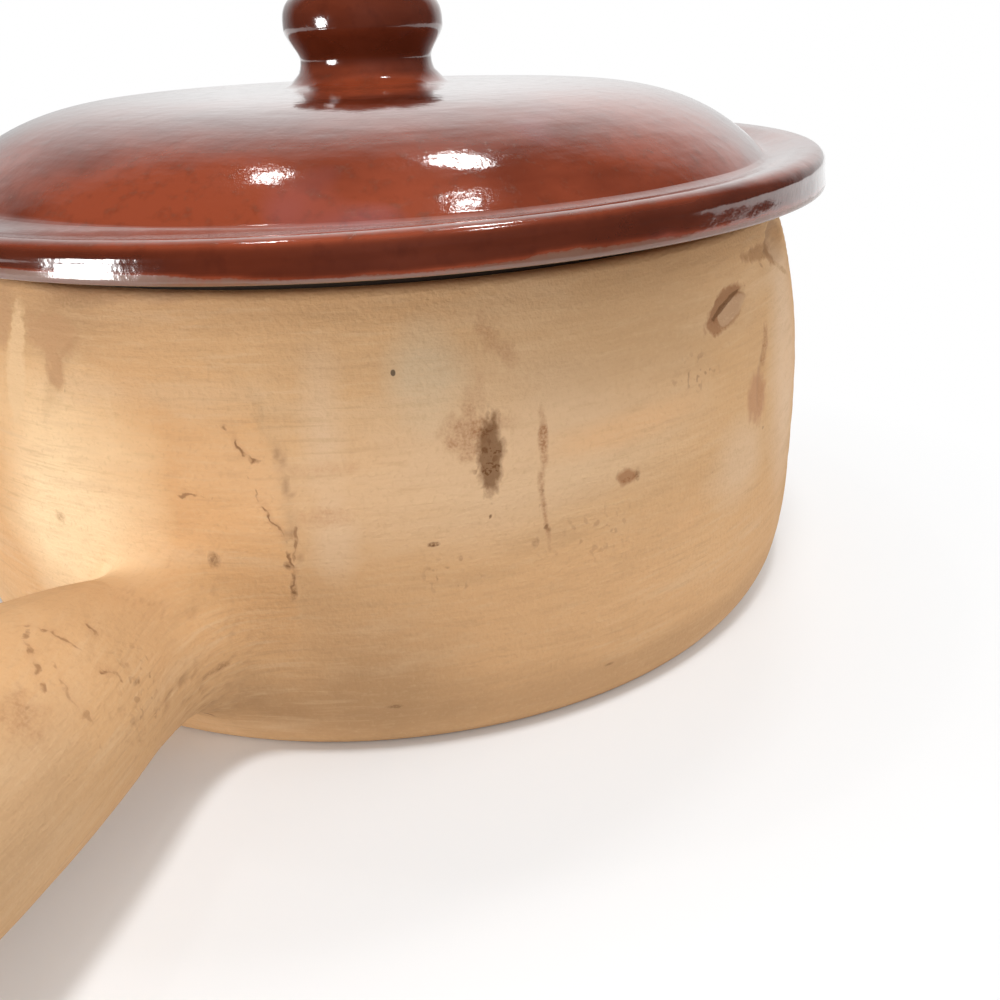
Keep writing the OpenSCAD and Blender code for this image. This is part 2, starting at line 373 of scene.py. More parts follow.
def rough_at(places, scale, seed):
    """Smooth noise from -1 to 1 at each place."""
    return np.array([noise.noise(Vector(p) * scale + Vector((seed, 0, 0))) for p in places])


def steps_between(a, b, count):
    """Evenly spaced values from a to b, without a."""
    return [a + (b - a) * i / count for i in range(1, count + 1)]


def quarter(count):
    """Evenly spaced angles of a quarter turn, without 0."""
    return [math.pi / 2 * i / count for i in range(1, count + 1)]


buff = (0.60, 0.36, 0.178, 1)
# Tone of the shade painted into creases, knife cuts and along the smear's torn edge
shade_brown = (0.20, 0.09, 0.038, 1)
smeared_clay = (0.66, 0.374, 0.172, 1)
dark_grit = (0.22, 0.115, 0.05, 1)


def bare_clay(name, zones=(), marks=(), cracks=(), peppered=(), sheet_r=belly_r, body=buff, painted_shade_tone=shade_brown,
              fading=False):
    """Unglazed buff clay: smears, bloom and grit, then zones, marks, cracks and specks on its sheet, and
    shade painted from its mesh.
    """
    material = blank_material(name)
    bench = Bench(material.node_tree)
    place = wire(bench.tree, "ShaderNodeTexCoord").outputs["Object"]
    ramp, over, grain, sums = bench.ramp, bench.over, bench.grain, bench.sums
    shade = [c * 0.74 for c in body[:3]] + [1]
    light = [c * 1.12 for c in body[:3]] + [1]
    dry = [c * k for c, k in zip(body[:3], (1.10, 1.22, 1.42))] + [1]

    level_smears = grain(place, 22, (1, 1, 5), 5.0, 0.6)
    strokes = grain(place, 60, (1, 1, 16), 4.0, 0.6)
    fine_smears = grain(place, 120, (1, 1, 5), 4.0, 0.65)
    bloom = grain(place, 16, (1, 1, 1.8), 4.0, 0.55)
    grit = grain(place, 1100, detail=2.0)
    sheet = wire(bench.tree, "ShaderNodeUVMap", uv_map="unrolled").outputs[0]
    soft_edge = ramp(bloom, 0.3, 0.7, -0.4, 0.4)
    ragged = ramp(grain(place, 560, (1, 1, 0.6), 3.0), 0.3, 0.7, -1, 1)

    def reach(sheet, turn_deg, height_mm, across_mm, tall_mm, lean_deg):
        """Distance from a form's middle on the sheet: 0 there, 1 at its edge and 2 at most."""
        centre = (math.radians(turn_deg) * sheet_r, height_mm / 1000, 0)
        inside = wire(bench.tree, "ShaderNodeMapping", {
            "Vector": sheet, "Location": centre, "Rotation": (0, 0, math.radians(lean_deg)),
            "Scale": (across_mm / 1000, tall_mm / 1000, 1)}, vector_type="TEXTURE").outputs[0]
        ball = wire(bench.tree, "ShaderNodeTexGradient", {"Vector": inside}, gradient_type="SPHERICAL")
        return sums("MULTIPLY_ADD", ball.outputs["Fac"], -2.0, 2.0)

    colour = over(light, ramp(bloom, 0.48, 0.66, 0, 0.6), body)
    colour = over(smeared_clay, sums("MULTIPLY", bench.painted("smeared"), 0.85), colour)
    plain = colour
    for *form, strength, tone in zones:
        far = sums("ADD", reach(sheet, *form), soft_edge)
        colour = over(tone, ramp(far, 1.25, 0.35, 0, strength), colour)
    if fading:
        colour = over(over(shade, 0.25, plain), bench.painted("off_wall"), colour)
    colour = over(dry, ramp(level_smears, 0.54, 0.70, 0, 0.45), colour)
    colour = over(shade, ramp(level_smears, 0.44, 0.30, 0, 0.28), colour)
    patches = ramp(bloom, 0.42, 0.60, 0.25, 1)
    colour = over(dry, sums("MULTIPLY", patches, ramp(strokes, 0.55, 0.67, 0, 0.5)), colour)
    colour = over(shade, sums("MULTIPLY", patches, ramp(strokes, 0.45, 0.34, 0, 0.3)), colour)
    colour = over(dry, ramp(fine_smears, 0.54, 0.74, 0, 0.28), colour)
    colour = over(shade, ramp(fine_smears, 0.45, 0.28, 0, 0.22), colour)
    colour = over(shade, ramp(grit, 0.56, 0.75, 0, 0.22), colour)
    colour = over(dry, ramp(grit, 0.43, 0.28, 0, 0.2), colour)
    colour = over(dark_grit, ramp(grain(place, 340, detail=1.0), 0.80, 0.83, 0, 0.4), colour)
    worn = ramp(grain(place, 1900, detail=1.0), 0.36, 0.60, 0.5, 1)
    worn = sums("MULTIPLY", worn, ramp(fine_smears, 0.36, 0.58, 0.45, 1))
    firm = sums("MAXIMUM", worn, 0.8)
    for *form, strength, tone, torn in marks:
        far = sums("MULTIPLY_ADD", ragged, 0.08 + torn / 2, reach(sheet, *form))
        cover = firm if strength >= 1 else worn
        colour = over(tone, sums("MULTIPLY", cover, ramp(far, 1 + torn / 2, 1 - torn, 0, strength)), colour)
    if peppered:
        specks = ramp(grain(place, 620, (1, 1, 0.8), 1.0), 0.60, 0.68)
        for *form, strength in peppered:
            amount = sums("MULTIPLY", specks, ramp(reach(sheet, *form), 1.0, 0.3, 0, strength))
            colour = over(burnt, amount, colour)
    if cracks:
        sway = wire(bench.tree, "ShaderNodeTexNoise", {"Vector": place, "Scale": 210.0, "Detail": 3.0})
        sway = bench.vectors("SUBTRACT", {0: sway.outputs["Color"], 1: (0.5, 0.5, 0.5)})
        swayed = bench.vectors("ADD", {0: sheet, 1: bench.vectors("SCALE", {0: sway, "Scale": 0.006})})
        open_parts = ramp(grain(place, 420, detail=2.0), 0.40, 0.52)
        for turn_deg, height_mm, length_mm, lean_deg, strength in cracks:
            beside = reach(swayed, turn_deg, height_mm, 2.6, length_mm * 1.1, lean_deg)
            colour = over(brown, ramp(beside, 1.0, 0.2, 0, 0.22 * strength), colour)
            split = reach(swayed, turn_deg, height_mm, 0.7, length_mm, lean_deg)
            split = ramp(sums("MULTIPLY_ADD", ragged, 0.8, split), 1.2, 0.4, 0, strength)
            colour = over(cracked, sums("MULTIPLY", open_parts, split), colour)
    # Painted shade where the mesh carries it: in creases, on knife cuts, along the smear's torn edge and in
    # the gap under the lid
    colour = over(painted_shade_tone, bench.painted("pressed"), colour)

    rough = ramp(level_smears, 0.3, 0.7, 0.92, 0.80)
    heights = sums("ADD", sums("MULTIPLY", fine_smears, 0.5), sums("MULTIPLY", grit, 0.35))
    heights = sums("MULTIPLY_ADD", level_smears, 0.5, heights)
    clay = wire(bench.tree, "ShaderNodeBsdfPrincipled", {
        "Base Color": colour, "Roughness": rough, "Normal": bench.bumps(heights, 0.5),
        "Specular IOR Level": 0.25})
    wire(bench.tree, "ShaderNodeOutputMaterial", {"Surface": clay.outputs[0]})
    return material


# Zones of tone on the wall: turn from the handle in degrees, height, width and tallness in mm, lean in
# degrees, strength and tone
peach = (0.70, 0.40, 0.195, 1)
orange = (0.74, 0.43, 0.21, 1)
chalky = (0.68, 0.48, 0.31, 1)
chalky_pale_lit = (0.72, 0.52, 0.35, 1)
painted_light_cream = (0.94, 0.72, 0.44, 1)
# Painted shade of knife facets, and of the strip just under the rim
facet_shade = (0.40, 0.22, 0.115, 1)
ashen_pale = (0.60, 0.46, 0.30, 1)
# Ashen: a greyish tone on the handle, and painted shade in the band under the flange
ashen_and_rim_shade = (0.44, 0.29, 0.165, 1)
# Painted shade under the flange and low on the wall by the handle and the base
painted_shade_tan = (0.40, 0.235, 0.115, 1)
wall_zones = [
    (45, 22, 190, 50, 0, 0.5, peach),
    # Painted light: a bright cream pool on the left of the wall
    (-9, 55, 44, 58, 0, 0.8, painted_light_cream),
    # Painted shade: knife facets near the rim on the left, and thin strips of it just under the rim
    (-16.5, 91, 8, 14, 0, 0.3, facet_shade),
    (-8.2, 87, 9, 18, 14, 0.25, facet_shade),
    (-4, 95.5, 28, 3, 0, 0.6, facet_shade),
    (5, 96, 12, 3, 0, 0.6, facet_shade),
    (36, 64, 95, 30, 0, 0.5, chalky),
    (20, 74, 10, 28, -3, 0.6, chalky),
    (20, 51, 9, 16, -3, 0.5, chalky),
    (29.5, 81, 14, 18, 0, 0.7, ashen_pale),
    (50, 65, 34, 7, 3, 0.6, peach),
    # Painted shade in a band under the flange
    (52, 84, 150, 16, 0, 0.28, ashen_and_rim_shade),
    # Painted shade: under the flange on the left, and low down by the handle's root and along the base
    (-8, 90, 40, 14, 0, 0.5, painted_shade_tan),
    (21, 16, 44, 30, 0, 0.6, painted_shade_tan),
    (10, 15, 26, 26, 0, 0.7, painted_shade_tan),
    (55, 8, 150, 12, 0, 0.4, painted_shade_tan),
    (68, 46, 24, 22, 10, 0.6, chalky),
    # A chalky tone, made paler to paint light along the wall's right side
    (84, 60, 32, 66, 0, 0.8, chalky_pale_lit),
    (115, 60, 120, 60, 0, 0.6, peach),
    # Painted shade in the band under the flange, round the back
    (150, 84, 150, 24, 0, 0.6, ashen_and_rim_shade),
    (-70, 55, 120, 40, 0, 0.6, chalky),
    (-120, 30, 170, 50, 0, 0.7, peach),
    # Painted shade in the band under the flange, round the back
    (-110, 86, 160, 22, 0, 0.7, ashen_and_rim_shade),
    (172, 40, 100, 50, 0, 0.5, chalky),
]
# Brown marks, given in the same way, with how torn their edges are
burnt = (0.15, 0.062, 0.021, 1)
brown = (0.33, 0.15, 0.064, 1)
rosy = (0.50, 0.27, 0.135, 1)
cracked = (0.24, 0.115, 0.05, 1)
scuffed = (0.47, 0.245, 0.125, 1)
gouge_shade = (0.40, 0.215, 0.095, 1)
pared_lit = (0.58, 0.37, 0.215, 1)
# Painted light on knife facets
facet_light = (0.52, 0.30, 0.15, 1)
tongue = (0.73, 0.49, 0.27, 1)
# Near-black: the shade painted in the gap under the lid, and one small spot on the wall
near_black = (0.04, 0.027, 0.019, 1)
wall_marks = [
    (33.2, 69.5, 10.0, 8.0, 0, 0.8, brown, 0.6),
    (33.8, 74.5, 4.0, 10.0, -20, 0.5, brown, 0.9),
    (36.0, 71.0, 9.0, 3.0, 0, 0.5, brown, 0.9),
    (35.3, 65.5, 5.2, 15.4, -7, 1.0, burnt, 0.25),
    (40.6, 66.5, 2.0, 12.0, -3, 0.9, brown, 0.5),
    (40.3, 52.5, 1.2, 14.0, 5, 0.7, brown, 0.7),
    (49.6, 55.2, 4.8, 3.4, 0, 1.0, brown, 0.35),
    (51.0, 55.4, 1.2, 2.6, 0, 0.6, burnt, 0.6),
    (74.6, 70.5, 3.0, 11.0, -24, 0.8, brown, 0.4),
    (71.8, 60.5, 10.0, 12.0, -12, 1.0, scuffed, 0.3),
    # The leaf-shaped cut: painted shade along its dark side and edge, painted light on its pared facet
    (66.6, 82.3, 18.5, 7.2, 16, 1.0, brown, 0.15),
    (67.8, 81.3, 13.5, 3.2, 17, 1.0, pared_lit, 0.15),
    (67.3, 82.7, 15.0, 1.2, 18, 1.0, burnt, 0.2),
    # Painted shade in the gouges by the rim on the right
    (78.5, 89.8, 26.0, 3.6, -3, 1.0, gouge_shade, 0.3),
    (81.0, 88.6, 9.0, 5.5, -20, 1.0, gouge_shade, 0.3),
    (85.2, 83.5, 16.0, 1.6, -21, 0.7, gouge_shade, 0.4),
    # Painted light on the knife facets on the left
    (-8.3, 88.0, 15.0, 7.0, -6, 1.0, facet_light, 0.2),
    (-7.9, 82.8, 4.6, 11.0, 14, 1.0, facet_light, 0.2),
    (-16.2, 88.6, 5.0, 10.0, 0, 1.0, facet_light, 0.2),
    # Painted shade just under the rim
    (-4.8, 94.3, 17.0, 2.6, 2, 0.7, painted_shade_tan, 0.3),
    (-13.6, 81.0, 6.0, 25.0, 0, 1.0, tongue, 0.2),
    (-0.9, 75.8, 2.0, 6.5, 16, 0.6, tongue, 0.3),
    (8.5, 48.2, 2.0, 3.0, 0, 0.7, burnt, 0.6),
    (15.5, 46.7, 2.0, 1.6, 0, 0.8, burnt, 0.5),
    (15.6, 40.5, 1.2, 4.0, -10, 0.7, burnt, 0.7),
    (8.8, 27.6, 2.4, 1.6, 0, 0.7, burnt, 0.6),
    (4.6, 10.6, 3.0, 1.0, -60, 0.6, burnt, 0.6),
    (36.1, 87.5, 4.0, 6.0, 15, 0.6, brown, 0.8),
    (58.0, 40.0, 9.0, 5.0, 10, 0.5, peach, 0.6),
    (19.6, 56.3, 10.0, 4.4, 0, 0.7, rosy, 0.6),
    (20.0, 65.8, 14.0, 2.4, 0, 0.5, rosy, 0.8),
    (26.9, 82.2, 1.0, 1.2, 0, 1.0, near_black, 0.2),
    (29.3, 49.1, 2.2, 1.1, 0, 0.95, burnt, 0.3),
    (39.2, 46.0, 1.6, 2.0, 0, 0.55, burnt, 0.6),
    (38.0, 83.5, 3.0, 5.0, 20, 0.4, brown, 0.5),
    (24.0, 12.0, 3.0, 1.0, 0, 0.5, burnt, 0.5),
    (48.0, 11.0, 2.5, 0.9, 0, 0.6, burnt, 0.4),
    (-9.3, 51.9, 2.4, 2.8, 0, 0.6, brown, 0.5),
    (120, 62, 5, 12, 10, 0.5, brown, 0.5),
    (141, 70, 3, 3, 0, 0.6, burnt, 0.4),
    (168, 50, 12, 5, 0, 0.4, brown, 0.7),
    (-62, 72, 6, 9, -15, 0.45, brown, 0.5),
    (-95, 45, 3, 9, 5, 0.6, burnt, 0.6),
    (-140, 64, 9, 5, 0, 0.5, brown, 0.6),
]
wall_peppered = [
    (34.6, 53.5, 2.6, 12.0, 0, 0.9),
    (29.6, 52.0, 7.0, 5.0, 0, 0.8),
    (40.3, 52.0, 2.4, 18.0, 4, 0.7),
    (46.0, 45.0, 26.0, 16.0, 0, 0.25),
    (31.0, 42.0, 14.0, 10.0, 0, 0.6),
    (34.8, 66.0, 7.0, 20.0, -6, 0.8),
    (60.0, 72.0, 20.0, 10.0, 0, 0.4),
    (130, 50, 40, 30, 0, 0.6),
    (-90, 60, 50, 30, 0, 0.6),
    (-150, 40, 40, 30, 0, 0.6),
]
# Cracks in the smeared clay: turn, height, length, lean, strength
wall_cracks = [
    (12.3, 70.6, 9.0, 42, 0.9),
    (14.4, 56.0, 11.0, 16, 0.9),
    (15.6, 45.0, 8.0, 0, 0.8),
    (16.2, 51.0, 8.0, -6, 0.6),
    (7.0, 61.5, 6.0, 80, 0.7),
    (10.5, 50.0, 7.0, 30, 0.5),
    (8.0, 47.0, 5.0, -20, 0.5),
]

rim_ring_pitch = 0.0017
rim_ring_depth = 0.0002
rim_ring_from = 0.080
lip_z = pot_h - rim_round


def ringed_r(z):
    """The wall's radius with the fine rings that the wheel left under the rim."""
    fade = float(ease((z - rim_ring_from) / 0.006)) * float(ease((lip_z - z) / 0.002))
    return float(pot_r(z)) + rim_ring_depth * fade * math.sin(2 * math.pi * z / rim_ring_pitch)


pot_outline = [(0.0, 0.0)]
pot_outline += [(r, 0.0) for r in steps_between(0.0, base_r - 0.001, 5)]
pot_outline += [(float(pot_r(corner_h * (1 - math.cos(a)))), corner_h * (1 - math.cos(a)))
                for a in [0.0] + quarter(20)]
pot_outline += [(ringed_r(z), z) for z in steps_between(corner_h, lip_z, 84)]
lip_r = float(pot_r(lip_z))
pot_outline += [(lip_r - rim_round * (1 - math.cos(a)), lip_z + rim_round * math.sin(a))
                for a in quarter(6)]
mouth_r = rim_r - rim_w
mouth_deep = 0.004
pot_outline += [(r, pot_h) for r in steps_between(lip_r - rim_round, mouth_r, 4)]
pot_outline += [(mouth_r, z) for z in steps_between(pot_h, pot_h - mouth_deep, 2)]
inner_corner_h = corner_h - floor_t / 2
inner_corner_z = floor_t + inner_corner_h
rim_deep = 0.014
under_rim = pot_h - rim_deep
behind_lining = 0.0015
set_back_over = 0.004
lining_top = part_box("pot_lining")[1].z


def inside_r(z):
    """Radius of the inside of the pot at a height, under the thickened rim."""
    if z < inner_corner_z:
        bottom = base_r - wall_t - inner_corner_h / 2
        wall = belly_r - wall_t
        return bottom + (wall - bottom) * math.sqrt(max(0, 1 - (1 - (z - floor_t) / inner_corner_h) ** 2))
    below_rim = float(pot_r(min(z, under_rim))) - wall_t
    t = min(max((lining_top - z) / (lining_top - under_rim), 0), 1)
    return mouth_r + (below_rim - mouth_r) * t * t * (3 - 2 * t)


# Below the mouth the clay lies a little behind the lining, which is a coat with a wobble of its own
for z in steps_between(pot_h - mouth_deep, under_rim, 4) + steps_between(under_rim, inner_corner_z, 3):
    pot_outline += [(inside_r(z) + behind_lining * float(ease((lining_top - z) / set_back_over)), z)]
for z in [floor_t + inner_corner_h * (1 - math.sin(a)) for a in quarter(4)]:
    pot_outline += [(inside_r(z) + behind_lining, z)]
pot_outline += [(0.0, floor_t - 0.001)]

clay_wall = bare_clay("clay_wall", wall_zones, wall_marks, wall_cracks, wall_peppered)
pot = throw("pot_body_thrown", pot_outline, clay_wall, 690, lines=0.0004, pitch=0.0045, wobble=0.0006,
            seed=3.0)

# Knife and finger marks: turn and height, length, width, lean, depth and how much shade is painted in each
places = points_of(pot.data)
turn = np.arctan2(places[:, 1], places[:, 0])
outer = ease((np.hypot(places[:, 0], places[:, 1]) - pot_r(places[:, 2]) + 0.003) / 0.001)
inward = np.zeros(len(places))
pressed = np.zeros(len(places))
cuts = [(67.0, 82.6, 19.0, 8.0, 14, 1.3, 0.3), (73.0, 64.0, 15.0, 5.0, 74, 0.5, 0.2),
        (86.0, 90.0, 30.0, 10.0, 2, 2.0, 0.5), (-7.0, 80.0, 22.0, 7.0, 60, 0.6, 0.1)]
cut_floor = 0.75
for turn_deg, height_mm, length_mm, width_mm, lean_deg, depth_mm, shade_amount in cuts:
    lean = math.radians(lean_deg)
    across = (turn - math.radians(turn_deg)) * belly_r * 1000
    upward = places[:, 2] * 1000 - height_mm
    along = (across * math.cos(lean) + upward * math.sin(lean)) / (length_mm / 2)
    aside = (upward * math.cos(lean) - across * math.sin(lean)) / (width_mm / 2)
    leaf = np.clip(1 - along ** 2, 0, 1) - np.abs(aside)
    inward += depth_mm / 1000 * np.minimum(np.clip(leaf, 0, 1), cut_floor) / cut_floor
    # The shade is painted mostly on the upper half of each cut
    upper_side = 0.3 + 0.7 * ease(0.5 + aside * 2)
    pressed = np.maximum(pressed, shade_amount * ease(leaf * 4) * upper_side)

# The clay that was smeared up from the handle stands a little proud and ends in a torn edge
smear_z = np.array([0.0, 39.1, 47.8, 60.1, 71.4, 80.4, 84.6, 97.0]) / 1000
smear_turn = np.radians([15.5, 16.1, 16.4, 16.4, 15.6, 14.1, 10.4, -4.0])
smear_left = math.radians(-26)
smear_bottom, smear_top = 0.022, 0.088
smear_t = 0.00045
tone_bottom, tone_top, tone_fade = 0.018, 0.092, 0.02
torn_coarse, torn_fine = 0.0016, 0.0008


def smeared_at(places):
    """How far each place lies inside the smear's torn edge, in metres."""
    turn = np.arctan2(places[:, 1], places[:, 0])
    torn = torn_coarse * rough_at(places * 1000, 0.22, 4.0) + torn_fine * rough_at(places * 1000, 0.7, 9.0)
    return (np.interp(places[:, 2], smear_z, smear_turn) - turn) * belly_r + torn


def smear_tone(places):
    """How much each place takes the smear's orange tone."""
    within = ease((tone_top - places[:, 2]) / tone_fade) * ease((places[:, 2] - tone_bottom) / tone_fade)
    return ease(smeared_at(places) / 0.002) * within


past_edge = smeared_at(places)
smear = ease(past_edge / 0.0014) * ease((turn - smear_left) / math.radians(14))
smear *= ease((smear_top - places[:, 2]) / 0.012)
smear *= ease((places[:, 2] - smear_bottom) / 0.015)
proud = smear_t * smear * (1 + 0.4 * rough_at(places * 1000, 0.16, 2.0))
inward = np.maximum(inward, 0) - proud
# Painted shade along the smear's torn edge, in broken lengths like small cracks
torn_edge_shade = np.exp(-(past_edge / 0.0006) ** 2) * ease((rough_at(places * 1000, 0.3, 7.0) + 0.1) / 0.5)
torn_edge_shade = 0.4 * torn_edge_shade * ease((places[:, 2] - 0.036) / 0.006) * ease((0.084 - places[:, 2]) / 0.01)
pressed = np.maximum(pressed, torn_edge_shade)
flat_out = places.copy()
flat_out[:, 2] = 0
flat_out /= np.maximum(np.linalg.norm(flat_out, axis=1), 1e-6)[:, None]
moved = places - flat_out * (inward * outer)[:, None]
moved[:, 2] = np.clip(moved[:, 2], 0, pot_h)
move_points(pot.data, moved)
paint(pot.data, "pressed", pressed * outer)
paint(pot.data, "smeared", smear_tone(places))
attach(pot, "pot")
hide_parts("pot_body")


# Pot lining
# Fired honey-brown glaze that lines the floor and wall inside, up to just under the rim.
# It was poured in, swirled and poured out, so it thins towards the mouth.
plum = (0.30, 0.13, 0.16, 1)


def glaze(name, deep, bright, thin, clouds_stretch=(1, 1, 1)):
    """Glossy glaze: a deep colour with brighter clouds under glass, worn where its piece is painted thin and
    darker where painted below zero, for pooling and painted shade.
    """
    material = blank_material(name)
    bench = Bench(material.node_tree)
    place = wire(bench.tree, "ShaderNodeTexCoord").outputs["Object"]
    ramp, over, grain, sums = bench.ramp, bench.over, bench.grain, bench.sums
    clouds = grain(place, 26, clouds_stretch, 4.0)
    mottle = grain(place, 330, (1, 1, 1), 3.0)
    speckle = grain(place, 1300, (1, 1, 1), 2.0)
    colour = over(bright, ramp(clouds, 0.34, 0.62), deep)
    colour = over(deep, ramp(mottle, 0.52, 0.74, 0, 0.4), colour)
    colour = over(plum, ramp(grain(place, 38, detail=1.0), 0.66, 0.78, 0, 0.3), colour)
    coat_t = bench.painted("thin")
    # Below zero the colour darkens, for pooled glaze and for painted shade
    colour = over([c * 0.4 for c in deep[:3]] + [1], ramp(coat_t, 0.0, -1.0, 0.0, 0.95), colour)
    broken = sums("MULTIPLY_ADD", ramp(mottle, 0.3, 0.7, -1, 1), 0.22, coat_t)
    broken = sums("MULTIPLY_ADD", ramp(speckle, 0.3, 0.7, -1, 1), 0.16, broken)
    bare = ramp(broken, 0.10, 1.10, 0, 0.95)
    colour = over(thin, bare, colour)
    rough = sums("MULTIPLY_ADD", bare, 0.5, ramp(mottle, 0.45, 0.75, 0.07, 0.15))
    x, y, z = wire(bench.tree, "ShaderNodeSeparateXYZ", {0: place}).outputs
    out = sums("SQRT", sums("MULTIPLY_ADD", x, x, sums("MULTIPLY", y, y)))
    round_axis = wire(bench.tree, "ShaderNodeCombineXYZ", {
        0: out, 1: sums("MULTIPLY", sums("ARCTAN2", y, x), 0.014), 2: sums("MULTIPLY", z, 0.6)}).outputs[0]
    skin = sums("MULTIPLY_ADD", speckle, 0.09, sums("MULTIPLY", mottle, 0.22))
    skin = sums("MULTIPLY_ADD", grain(place, 130, (1, 1, 2), 1.0), 0.6, skin)
    skin = sums("MULTIPLY_ADD", grain(round_axis, 280, detail=2.0), 0.45, skin)
    relief = bench.bumps(skin, 0.2)
    glass = wire(bench.tree, "ShaderNodeBsdfPrincipled", {
        "Base Color": colour, "Roughness": rough, "Normal": relief, "IOR": 1.5,
        "Coat Weight": 1.0, "Coat IOR": 1.6, "Coat Roughness": 0.12, "Coat Normal": relief})
    wire(bench.tree, "ShaderNodeOutputMaterial", {"Surface": glass.outputs[0]})
    return material


lining_t = 0.0006
lining_face = [(inside_r(z), z) for z in steps_between(lining_top, inner_corner_z, 40)]
lining_face += [(inside_r(z), z) for z in
                [floor_t + inner_corner_h * (1 - math.sin(a)) for a in quarter(20)]]
lining_face += [(r, floor_t) for r in steps_between(lining_face[-1][0], 0.0, 24)]
lining_back = [(r, z) for r, z in lining_face if r > 0][::-4]
lining_front = [(max(r - lining_t, 0), z + (lining_t if z < floor_t + 0.004 else 0)) for r, z in lining_face]
honey = glaze("honey_glaze", (0.20, 0.085, 0.022, 1), (0.36, 0.17, 0.05, 1), (0.50, 0.30, 0.15, 1))
lining_outline = lining_front + [(0.0, floor_t)] + lining_back + lining_front[:1]
lining = throw("pot_lining_glaze", lining_outline, honey, 240, wobble=0.0003, seed=5.0)
lining_height = points_of(lining.data)[:, 2]
paint(lining.data, "thin", 0.75 * ease((lining_height - lining_top + 0.012) / 0.012))
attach(lining, "pot")
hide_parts("pot_lining")


# Handle
# A hollow clay handle thrown apart on the wheel, open at its outer end, and set on the wall while soft.
# It leaves the wall low down, swells towards the hand and rises a little.
handle_z = 0.0295
handle_rise = math.radians(4.5)
handle_wall = 0.0055
neck_r = 0.012
grip_r = 0.0255
flare_len = 0.030
handle_lip = handle_wall / 2
handle_end = 0.095 - handle_lip
handle_root = -0.006


def handle_r(s):
    """Outer radius of the handle at a distance from the wall."""
    return neck_r + (grip_r - neck_r) * (1 - np.exp(-np.maximum(s, 0) / flare_len))


handle_outline = [(float(handle_r(s)), s)
                  for s in [handle_root] + steps_between(handle_root, handle_end, 130)]
lip_middle = float(handle_r(handle_end)) - handle_lip
handle_outline += [(lip_middle + handle_lip * math.cos(a), handle_end + handle_lip * math.sin(a))
                   for a in [math.pi * i / 12 for i in range(1, 13)]]
handle_outline += [(float(handle_r(s)) - handle_wall, s) for s in steps_between(handle_end, handle_root, 30)]
handle_outline += [handle_outline[0]]
# Zones and marks on the handle: turn round its axis from below, distance from the wall, then as on the wall
handle_zones = [(150, 66, 60, 74, 0, 0.4, orange), (105, 62, 30, 40, 0, 0.45, ashen_and_rim_shade),
                (-100, 50, 60, 60, 0, 0.5, peach)]
handle_marks = [(131, 50.0, 9.0, 8.0, 0, 0.5, brown, 0.8), (112, 27.3, 1.4, 2.0, 0, 0.7, burnt, 0.5),
                (92.5, 15.1, 1.6, 2.2, 0, 0.7, burnt, 0.5), (77, 8.4, 2.0, 4.0, 20, 0.6, burnt, 0.7),
                (-60, 40.0, 4.0, 8.0, 10, 0.5, brown, 0.6), (-140, 66.0, 6.0, 3.0, 0, 0.5, brown, 0.6)]
handle_cracks = [(153.8, 34.6, 12.7, -73, 0.6), (147.4, 41.1, 13.2, 56, 0.6), (124.4, 40.3, 15.0, 88, 0.4),
                 (145.4, 27.8, 4.0, 80, 0.7), (124.5, 31.7, 5.5, -65, 0.8), (100, 22.0, 6.0, 20, 0.6),
                 (-120, 30.0, 12.0, 20, 0.6), (-80, 24.0, 9.0, -30, 0.6)]
handle_peppered = [(104, 24, 30, 22, 0, 0.35), (-110, 60, 40, 40, 0, 0.4)]
clay_handle = bare_clay("clay_handle", handle_zones, handle_marks, handle_cracks, handle_peppered, grip_r,
                        body=(0.561, 0.337, 0.166, 1))
handle = throw("handle_thrown", handle_outline, clay_handle, 260, lines=0.0002, pitch=0.008, wobble=0.0012,
               seed=8.0, sheet_r=grip_r)
handle_lie = Matrix.Translation((belly_r, 0, handle_z)) @ Matrix.Rotation(math.pi / 2 - handle_rise, 4, "Y")
handle.data.transform(handle_lie)
axis = np.array(handle_lie.to_3x3() @ Vector((0, 0, 1)))
sideways = np.array((0.0, 1.0, 0.0))
upright = np.cross(axis, sideways)
upright *= math.copysign(1, upright[2])
root = np.array((belly_r, 0, handle_z))
crease_depth = 0.0005
crease_zone = 0.018
crease_middle = 0.016


def skin_of(mesh):
    """A search tree of a mesh's faces, for finding where a straight line meets it."""
    return BVHTree.FromPolygons(points_of(mesh).tolist(), [tuple(face.vertices) for face in mesh.polygons])


def crease(mesh, amount=1.0):
    """Presses finger creases round the handle's root into a mesh, deepest on its right, and paints shade into
    them.
    """
    places = points_of(mesh)
    from_root = places - root
    s = from_root @ axis
    spin = np.arctan2(from_root @ upright, from_root @ sideways)
    sway = np.column_stack([rough_at(places * 1000, 0.13, seed) for seed in (1.0, 6.0, 11.0)])
    rolled = np.column_stack([s * 420, spin * grip_r * 130, np.zeros(len(s))]) + 1.1 * sway
    lines = 1 - np.abs(rough_at(rolled, 1.0, 3.0))
    gaps = ease((rough_at(places * 1000, 0.10, 17.0) + 0.15) / 0.4)
    pits = 0.7 * ease((rough_at(places * 1000, 0.6, 12.0) - 0.58) / 0.12)
    where = amount * np.exp(-((s - crease_middle) / crease_zone) ** 2)
    where = where * (0.2 + 0.8 * ease((np.cos(spin + 0.4) + 0.5) / 1.2))
    depth = np.maximum(ease((lines - 0.88) / 0.10) * gaps, 0.6 * pits) * where
    swell = 0.0005 * where * rough_at(places * 1000, 0.11, 21.0)
    move_points(mesh, places + normals_of(mesh) * (swell - crease_depth * depth)[:, None])
    # Painted shade in the creases and pits
    paint(mesh, "pressed", 0.28 * depth)


handle_skin = skin_of(handle.data)
crease(handle.data)
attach(handle, "pot")
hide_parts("handle")


